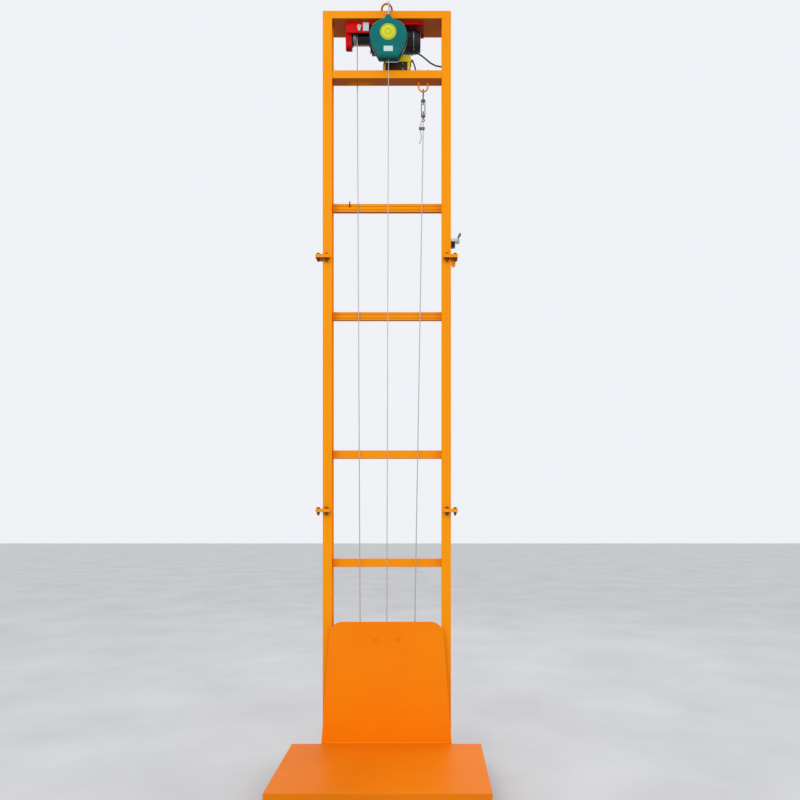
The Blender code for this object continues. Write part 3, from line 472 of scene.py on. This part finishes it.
def ropes():
    dead_x = middle("turnbuckle_body").x - 0.0005
    dead_y = middle("turnbuckle_body").y
    left = [(-0.1815, DRUM.y - DRUM_RADIUS, DRUM.z),
            (SHEAVE_LEFT.x - SHEAVE_RADIUS, SHEAVE_LEFT.y, SHEAVE_LEFT.z)]
    right = [(dead_x, dead_y, 3.8180), (dead_x, dead_y, 3.7500),
             (SHEAVE_RIGHT.x + SHEAVE_RADIUS, SHEAVE_RIGHT.y, SHEAVE_RIGHT.z)]
    life = [(ARREST.x, (FACE_Y + ARREST_HIGH.y) / 2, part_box("arrester_rope")[1].z),
            (0.0, -0.0065, 0.7955)]
    stranded("left_rope_strands", left, ROPE_RADIUS, ROOT, "hoist_rope_left", left[0][2])
    stranded("right_rope_strands", right, ROPE_RADIUS, ROOT, "hoist_rope_right", right[0][2])
    stranded("arrester_rope_strands", life, ARREST_ROPE_RADIUS, ROOT, "arrester_rope", life[0][2])
    round_left = arc((SHEAVE_LEFT.x, SHEAVE_LEFT.z), SHEAVE_RADIUS, 180.6, 270, 14)
    round_right = arc((SHEAVE_RIGHT.x, SHEAVE_RIGHT.z), SHEAVE_RADIUS, 270, 359.4, 14)
    under = [(u, SHEAVE_LEFT.y, v) for u, v in round_left + round_right]
    stranded("cross_rope_strands", under, ROPE_RADIUS, CARRIAGE, "hoist_rope_cross")
    for name, body, path in (("drum_rope_turns", "rope_drum", wound(-0.2066, 0.0062, 0, 2.75)),
                             ("left_rope_wrap", ROOT, wound(left[0][0], 0.0020, math.pi, -0.75))):
        bm = bmesh.new()
        add_tube(bm, path, stranded_section(ROPE_RADIUS, 0.0063, ROPE_RADIUS * LAY, sides=12))
        piece(name, bm, ROPE_STEEL, body, smooth=60)
    tail_step = 0.004
    tail = smooth_path([(dead_x, dead_y - 0.006, 3.838),
                        (dead_x - 0.010, dead_y - 0.001, 3.826),
                        (dead_x - 0.0165, dead_y, 3.800),
                        (dead_x - 0.0170, dead_y, 3.776),
                        (dead_x - 0.0120, dead_y - 0.004, 3.740),
                        (dead_x - 0.0130, dead_y - 0.004, 3.715),
                        (dead_x - 0.0190, dead_y - 0.004, 3.698)], tail_step)
    bm = bmesh.new()
    add_tube(bm, tail, stranded_section(ROPE_RADIUS, tail_step, ROPE_RADIUS * LAY, sides=12))
    piece("rope_tail", bm, ROPE_STEEL, ROOT, smooth=60)
    bm = bmesh.new()
    end = Vector(tail[-1])
    lean = Vector((0.002, 0, 0.006))
    add_rod(bm, end + lean, end - lean, 0.0040, sides=16)
    piece("rope_tail_ferrule", bm, STEEL, ROOT, bevel=0.001)


# ---- mast details ------------------------------------------------------------------------------
LUG_HALF = 0.0103
LUG_LEVELS = (1.5, 3.0)
WASHER_RADIUS, WASHER_THICK = 0.0128, 0.0018
POST_X = 0.3525


def hex_bolt(bm, x, y, z):
    """A vertical bolt with washers, a domed hexagon head above and a nut below."""
    top, bottom = z + LUG_HALF, z - LUG_HALF - 0.0003
    add_rod(bm, (x, y, bottom - 0.020), (x, y, top + 0.004), 0.0058, sides=16)
    add_rod(bm, (x, y, top), (x, y, top + WASHER_THICK), WASHER_RADIUS, sides=24)
    add_turned(bm, (x, y, top + WASHER_THICK), (0, 0, 1),
               [(0, 0.0104), (0.0062, 0.0104), (0.0078, 0.0086)], 6)
    add_rod(bm, (x, y, bottom - WASHER_THICK), (x, y, bottom), WASHER_RADIUS, sides=24)
    add_turned(bm, (x, y, bottom - 0.0118), (0, 0, 1),
               [(0, 0.0088), (0.0015, 0.0104), (0.0100, 0.0104)], 6)


def bead(bm, start, end, radius, ripples=0.006):
    """A weld bead: a rippled half-round line."""
    length = (Vector(end) - Vector(start)).length
    count = max(6, int(length / 0.0015))
    path = [Vector(start).lerp(Vector(end), i / count) for i in range(count + 1)]

    def section(i, share):
        swell = radius * (0.86 + 0.14 * math.cos(math.tau * share * length / ripples))
        swell *= min(1.0, 0.35 + 12 * min(share, 1 - share))
        return [(swell, math.tau * k / 8) for k in range(8)]

    add_tube(bm, path, section)


def mast_details():
    for i in range(1, 5):
        bolt = middle(f"lug_bolt_{i}")
        side = 1 if bolt.x > 0 else -1
        level = LUG_LEVELS[0] if bolt.z < 2 else LUG_LEVELS[1]
        bm = bmesh.new()
        hex_bolt(bm, bolt.x - side * 0.048, bolt.y, level)
        piece(f"inner_lug_bolt_{i}", bm, BOLT_SHADED, ROOT, bevel=0.0006)
        bm = bmesh.new()
        for low, high in ((level + 0.0103, level + 0.0118), (level - 0.0124, level - 0.0109)):
            add_rod(bm, (bolt.x, bolt.y, low), (bolt.x, bolt.y, high), WASHER_RADIUS)
        piece(f"outer_lug_washers_{i}", bm, BOLT_SHADED, ROOT, bevel=0.0003)
    bm = bmesh.new()
    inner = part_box("head_beam")[1].x
    for name in [n for n in NODES if "rung" in n] + ["head_beam"]:
        low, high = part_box(name)
        for s in (-1, 1):
            x = s * inner
            bead(bm, (x, low.y - 0.0005, low.z + 0.003), (x, low.y - 0.0005, high.z - 0.003),
                 0.0026)
            bead(bm, (x, low.y + 0.002, high.z + 0.0004), (x, high.y - 0.002, high.z + 0.0004),
                 0.0024)
    piece("weld_beads", bm, ORANGE, ROOT)
    hood_low, hood_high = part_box("head_hood")
    for word, side in (("left", -1), ("right", 1)):
        edge = hood_high.x if side > 0 else hood_low.x
        bm = bmesh.new()
        xs = sorted((edge - side * 0.004, edge - side * 0.0004))
        add_box(bm, (xs[0], hood_low.y + 0.0035, hood_low.z + 0.0035),
                (xs[1], hood_high.y - 0.0035, hood_high.z - 0.0035))
        piece(f"hood_end_cap_{word}", bm, ORANGE, ROOT, bevel=0.0008)
    for name in ("upper_rung", "middle_rung_2"):
        low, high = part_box(name)
        bm = bmesh.new()
        for share in (0.30, 0.72):
            z = low.z + (high.z - low.z) * share
            add_tube(bm, even_path([(low.x + 0.006, low.y, z), (high.x - 0.006, low.y, z)], 0.05),
                     round_section(0.0024, 10))
        piece(f"{name}_ridges", bm, ORANGE, ROOT)
    low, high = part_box("upper_rung")
    bm = bmesh.new()
    hook_x = -0.2250
    hook = smooth_path([(hook_x, low.y - 0.001, high.z - 0.020),
                        (hook_x, low.y - 0.009, high.z - 0.010),
                        (hook_x, low.y - 0.011, high.z + 0.004),
                        (hook_x, low.y - 0.004, high.z + 0.010)], 0.003)
    add_tube(bm, hook, round_section(0.0035, 12))
    piece("rung_cable_hook", bm, BOLT_SHADED, ROOT)


def cable_details():
    cable_x, cable_y = 0.368, 0.086
    for i, z in enumerate((4.02, 3.72, 3.42, 3.18)):
        bm = bmesh.new()
        ring = [(cable_x + u, cable_y + v, z) for u, v in arc((0, 0), 0.0058, 0, 340, 18)]
        add_tube(bm, ring, round_section(0.0012, 8), closed=True)
        add_box(bm, (cable_x - 0.016, 0.0803, z - 0.005), (cable_x - 0.004, 0.0825, z + 0.005))
        screw_x = cable_x - 0.0115
        add_rod(bm, (screw_x, 0.082, z), (screw_x, 0.085, z), 0.0032, sides=12)
        piece(f"cable_clip_{i + 1}", bm, BLACK, ROOT, bevel=0.0004)
    bm = bmesh.new()
    add_turned(bm, (0.1400, 0.0790, 4.2650), (0.30, 0, -1),
               [(-0.004, 0.0090), (0.002, 0.0090), (0.003, 0.0075), (0.009, 0.0060)], 16)
    piece("motor_cable_gland", bm, RUBBER, ROOT)
    bm = bmesh.new()
    add_turned(bm, (0.1432, 0.0360, 4.1862), (1, 0, -0.35),
               [(0, 0.0085), (0.004, 0.0085), (0.005, 0.0070), (0.012, 0.0054)], 16)
    piece("control_cable_gland", bm, RUBBER, ROOT)
    bm = bmesh.new()
    add_turned(bm, (0.1720, 0.0460, 4.1093), (0, 0, 1),
               [(0, 0.0105), (0.0025, 0.0100), (0.0075, 0.0060)], 20)
    piece("beam_grommet", bm, RUBBER, ROOT)
    bm = bmesh.new()
    add_turned(bm, (0.3925, 0.0422, 3.0800), (0, 1, 0),
               [(0, 0.0085), (0.006, 0.0085), (0.007, 0.0068), (0.014, 0.0052)], 16)
    piece("limit_switch_gland", bm, RUBBER, ROOT)


# ---- hoist -------------------------------------------------------------------------------------
MOTOR_AXIS = Vector((0.0, 0.093, 4.333))
RIM_RADIUS = 0.0676
FIN_CIRCLE = 0.0668
FIN_COUNT = 30
GEARBOX_AXIS_Z = 4.325
GEARBOX_BOLT_CIRCLE = 0.055


def hoist_details():
    frame_low, frame_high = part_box("hoist_frame")
    end_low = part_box("drum_end_housing")[0]
    motor_low, motor_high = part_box("hoist_motor")
    grille_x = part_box("motor_fan_cover")[1].x - 0.0008
    gear_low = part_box("hoist_gearbox")[0]
    bm = bmesh.new()
    for i in range(FIN_COUNT):
        turn = math.tau * i / FIN_COUNT
        out = Vector((0, math.cos(turn), math.sin(turn))) * FIN_CIRCLE
        centre = MOTOR_AXIS + out
        if centre.z < frame_high.z - 0.036:
            add_rod(bm, (motor_low.x + 0.014, centre.y, centre.z),
                    (motor_high.x - 0.003, centre.y, centre.z), 0.0011, sides=8)
    piece("motor_fins", bm, BLACK, ROOT)
    bm = bmesh.new()
    for r in (0.012, 0.024, 0.036, 0.048):
        ring = [(grille_x, MOTOR_AXIS.y + u, MOTOR_AXIS.z + v)
                for u, v in arc((0, 0), r, 0, 350, 36)]
        add_tube(bm, ring, round_section(0.0011, 8), closed=True)
    hub = Vector((grille_x, MOTOR_AXIS.y, MOTOR_AXIS.z))
    for i in range(8):
        a = math.tau * i / 8
        out = Vector((0, math.cos(a), math.sin(a)))
        add_rod(bm, hub + out * 0.006, hub + out * 0.053, 0.0011, sides=8)
    piece("fan_grille", bm, STEEL, ROOT)
    bm = bmesh.new()
    for i in range(6):
        a = math.tau * (i + 0.5) / 6
        y = MOTOR_AXIS.y + GEARBOX_BOLT_CIRCLE * math.cos(a)
        z = GEARBOX_AXIS_Z + GEARBOX_BOLT_CIRCLE * math.sin(a)
        add_rod(bm, (gear_low.x - 0.003, y, z), (gear_low.x, y, z), 0.0045, sides=6)
    piece("gearbox_bolts", bm, BOLT_SHADED, ROOT, bevel=0.0005)
    bm = bmesh.new()
    front = frame_low.y
    add_box(bm, (-0.1440, front - 0.0016, 4.3600), (-0.1095, front - 0.0002, 4.4100))
    piece("hoist_rating_plate", bm, LABEL, ROOT, bevel=0.0006)
    bm = bmesh.new()
    for x, z in ((-0.236, 4.360), (-0.236, 4.402), (0.060, 4.407), (0.200, 4.407)):
        add_turned(bm, (x, front + 0.0006, z), (0, -1, 0),
                   [(0, 0.0050), (0.0022, 0.0050), (0.0036, 0.0036)], 6)
    piece("hoist_screws", bm, BOLT_SHADED, ROOT)
    bm = bmesh.new()
    add_turned(bm, (-0.166, 0.0214, 4.388), (0, -1, 0),
               [(0, 0.0062), (0.0020, 0.0062), (0.0032, 0.0048)], 20)
    piece("rope_stop_pin", bm, STEEL, "rope_stop_lever")
    bm = bmesh.new()
    add_turned(bm, (-0.1565, front + 0.0004, 4.3740), (0, -1, 0),
               [(-0.002, 0.0085), (0.0010, 0.0085), (0.0012, 0.0070)], 28)
    piece("hoist_frame_plug", bm, BLACK, ROOT)
    bm = bmesh.new()
    for y, z in ((0.063, 4.365), (0.123, 4.365), (0.093, 4.292)):
        add_turned(bm, (end_low.x + 0.0006, y, z), (-1, 0, 0),
                   [(0, 0.0046), (0.0022, 0.0046), (0.0030, 0.0034)], 6)
    piece("drum_end_screws", bm, BOLT_SHADED, ROOT)
    bm = bmesh.new()
    for x in (motor_low.x + 0.005, motor_high.x - 0.0015):
        ring = [(x, MOTOR_AXIS.y + u, MOTOR_AXIS.z + v)
                for u, v in arc((0, 0), RIM_RADIUS, 0, 350, 60)]
        add_tube(bm, ring, round_section(0.0016, 8), closed=True)
    piece("motor_end_rims", bm, STEEL, ROOT)


def control_box_details():
    low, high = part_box("control_box")
    seam_z = (low.z + high.z) / 2 + 0.0255
    for word, x, mat in (("left", low.x + 0.010, AMBER), ("right", high.x - 0.011, YELLOW)):
        bm = bmesh.new()
        path = smooth_path([(x, low.y + 0.004, low.z + 0.006),
                            (x, low.y - 0.0010, low.z + 0.013),
                            (x, low.y - 0.0015, high.z - 0.013),
                            (x, low.y + 0.004, high.z - 0.006)], 0.002)
        add_tube(bm, path, round_section(0.0075, 20))
        piece(f"control_box_strap_{word}", bm, mat, ROOT)
    bm = bmesh.new()
    for x in (low.x + 0.035, low.x + 0.118):
        for z in (low.z + 0.012, high.z - 0.012):
            add_rod(bm, (x, low.y - 0.0012, z), (x, low.y + 0.002, z), 0.0036, sides=16)
    piece("control_box_screws", bm, STEEL, ROOT, bevel=0.0005)
    bm = bmesh.new()
    add_tube(bm, [(low.x + 0.012, low.y + 0.0004, seam_z),
                  (high.x - 0.012, low.y + 0.0004, seam_z)], round_section(0.0010, 8))
    piece("control_box_seam", bm, BLACK, ROOT)
    low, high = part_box("control_box_cover")
    bm = bmesh.new()
    for i in range(3):
        z = low.z + 0.010 + 0.008 * i
        add_box(bm, (low.x + 0.020, low.y - 0.0008, z), (high.x - 0.014, low.y + 0.001, z + 0.0026))
    piece("cover_ribs", bm, YELLOW, ROOT, bevel=0.0006)


# ---- fall arrester -------------------------------------------------------------------------------
def arrester_details():
    x, face = ARREST.x, FACE_Y
    disc_z = 4.283
    bm = bmesh.new()
    add_turned(bm, (x, face + 0.0010, disc_z), (0, -1, 0),
               [(0, 0.0475), (0.0020, 0.0475), (0.0036, 0.0462), (0.0042, 0.0440),
                (0.0046, 0.0200)], 64)
    piece("arrester_disc", bm, DISC, "arrester")
    bm = bmesh.new()
    for r in (0.0415, 0.0160):
        add_tube(bm, [(x + u, face - 0.0034, disc_z + v) for u, v in arc((0, 0), r, 0, 354, 60)],
                 round_section(0.0009, 8), closed=True)
    piece("arrester_disc_rings", bm, TEAL_SHADED, "arrester")
    bm = bmesh.new()
    add_box(bm, (x - 0.0270, face - 0.0006, 4.170), (x + 0.0270, face + 0.0016, 4.201))
    piece("arrester_label", bm, LABEL, "arrester", bevel=0.0008)
    mid_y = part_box("arrester_rear_shell")[0].y
    bm = bmesh.new()
    add_turned(bm, (x, mid_y, ARREST_LOW.z + 0.0005), (0, 0, -1),
               [(-0.003, 0.0105), (0, 0.0105), (0.001, 0.0090)], 24)
    piece("rope_exit_bush", bm, RUBBER, "arrester")


# ---- carriage ------------------------------------------------------------------------------------
def carriage_details():
    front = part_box("back_plate")[0].y
    deck_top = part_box("platform_deck")[1].z
    bm = bmesh.new()
    bead(bm, (-0.372, front - 0.0006, deck_top + 0.0006),
         (0.372, front - 0.0006, deck_top + 0.0006), 0.0032)
    for s in (-1, 1):
        x = s * 0.3835
        bead(bm, (x, front + 0.002, 0.100), (x, front + 0.002, deck_top - 0.004), 0.0022)
    piece("deck_weld", bm, ORANGE, CARRIAGE)
    for name in ("left_sheave", "right_sheave"):
        centre = middle(name)
        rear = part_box(name)[1].y + 0.0006
        bm = bmesh.new()
        add_turned(bm, (centre.x, rear, centre.z), (0, 1, 0),
                   [(0, 0.0125), (0.0022, 0.0125), (0.0030, 0.0112)], 24)
        piece(f"{name}_washer", bm, STEEL, CARRIAGE)
    for name in [n for n in NODES if n.endswith("roller") and n.startswith(("upper", "lower"))]:
        low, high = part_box(name)
        centre = middle(name)
        side = 1 if centre.x > 0 else -1
        face = low.x if side > 0 else high.x
        bm = bmesh.new()
        for r in (0.0300, 0.0180):
            ring = [(face - side * 0.0001, centre.y + u, centre.z + v)
                    for u, v in arc((0, 0), r, 0, 350, 40)]
            add_tube(bm, ring, round_section(0.0009, 8), closed=True)
        piece(f"{name}_face_rings", bm, NYLON, name)
    for name in ("left_buffer", "right_buffer"):
        low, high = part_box(name)
        centre = middle(name)
        r = (high.x - low.x) / 2
        bm = bmesh.new()
        for share in (0.3, 0.6):
            z = low.z + (high.z - low.z) * share
            ring = [(centre.x + u, centre.y + v, z)
                    for u, v in arc((0, 0), r - 0.0002, 0, 350, 32)]
            add_tube(bm, ring, round_section(0.0016, 8), closed=True)
        piece(f"{name}_rings", bm, RUBBER, ROOT)
    base_low, base_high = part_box("base_frame")
    bm = bmesh.new()
    for s in (-1, 1):
        for y in (base_low.y, base_high.y):
            out = -1 if y == base_low.y else 1
            near, far = sorted((y - out * 0.0040, y - out * 0.0004))
            add_box(bm, (s * POST_X - 0.0265, near, 0.0035), (s * POST_X + 0.0265, far, 0.0465))
    piece("skid_end_caps", bm, BLACK, ROOT, bevel=0.0015)
    bm = bmesh.new()
    for s in (-1, 1):
        for side in (-1, 1):
            x = s * POST_X + side * 0.0278
            bead(bm, (x, 0.002, 0.0512), (x, 0.078, 0.0512), 0.0026)
    piece("post_foot_welds", bm, ORANGE, ROOT)


def limit_switch_details():
    body_low, body_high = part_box("limit_switch_body")
    bm = bmesh.new()
    for z in (body_low.z + 0.006, body_high.z - 0.006):
        for y in (body_low.y + 0.006, body_high.y - 0.006):
            add_turned(bm, (body_high.x - 0.0006, y, z), (1, 0, 0),
                       [(0, 0.0030), (0.0016, 0.0030), (0.0022, 0.0022)], 16)
    piece("limit_switch_screws", bm, STEEL, ROOT)
    bm = bmesh.new()
    add_turned(bm, (0.4214, -0.0581, 3.0956), (0, -1, 0),
               [(0, 0.0056), (0.0020, 0.0056), (0.0030, 0.0042)], 6)
    piece("limit_lever_bolt", bm, BOLT_SHADED, "limit_switch_lever")


finish_nodes()
ropes()
mast_details()
cable_details()
hoist_details()
control_box_details()
arrester_details()
carriage_details()
limit_switch_details()
